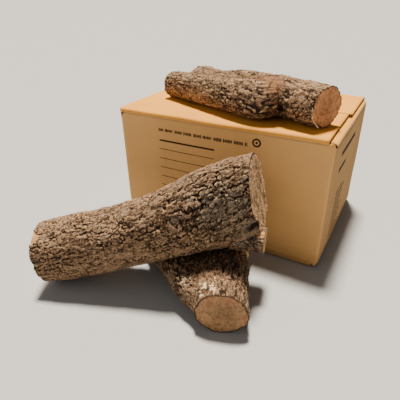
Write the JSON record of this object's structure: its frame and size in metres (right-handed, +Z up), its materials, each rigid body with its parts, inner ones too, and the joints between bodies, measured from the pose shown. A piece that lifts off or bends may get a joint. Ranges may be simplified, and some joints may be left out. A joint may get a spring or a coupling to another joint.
{
  "type": "firewood bundle",
  "caption": "Forked firewood logs in rough bark with sawn ends, one lying on a closed corrugated carton and the others in front of it, one leaning across the other.",
  "frame": {"origin": "middle of the whole bundle's footprint, on the floor", "axes": "+X along the carton's long side, to the right seen from the front; +Y from the logs on the floor back to the carton; +Z up"},
  "size_m": [0.4454, 0.5908, 0.3229],
  "materials": {
    "bark": "rough grey-brown bark",
    "board": "matt brown kraft paper over corrugated board"
  },
  "bodies": {
    "root": {"forked_log_stem": "bark", "forked_log_limb": "bark", "leaning_log_stem": "bark", "leaning_log_stub": "bark", "lower_log_stem": "bark", "lower_log_limb": "bark", "carton_sleeve": "board", "carton_lid_flap_front": "board", "carton_lid_flap_back": "board", "carton_lid_flap_left": "board", "carton_lid_flap_right": "board", "carton_base_flap_front": "board", "carton_base_flap_back": "board", "carton_base_flap_left": "board", "carton_base_flap_right": "board"}
  },
  "joints": []
}
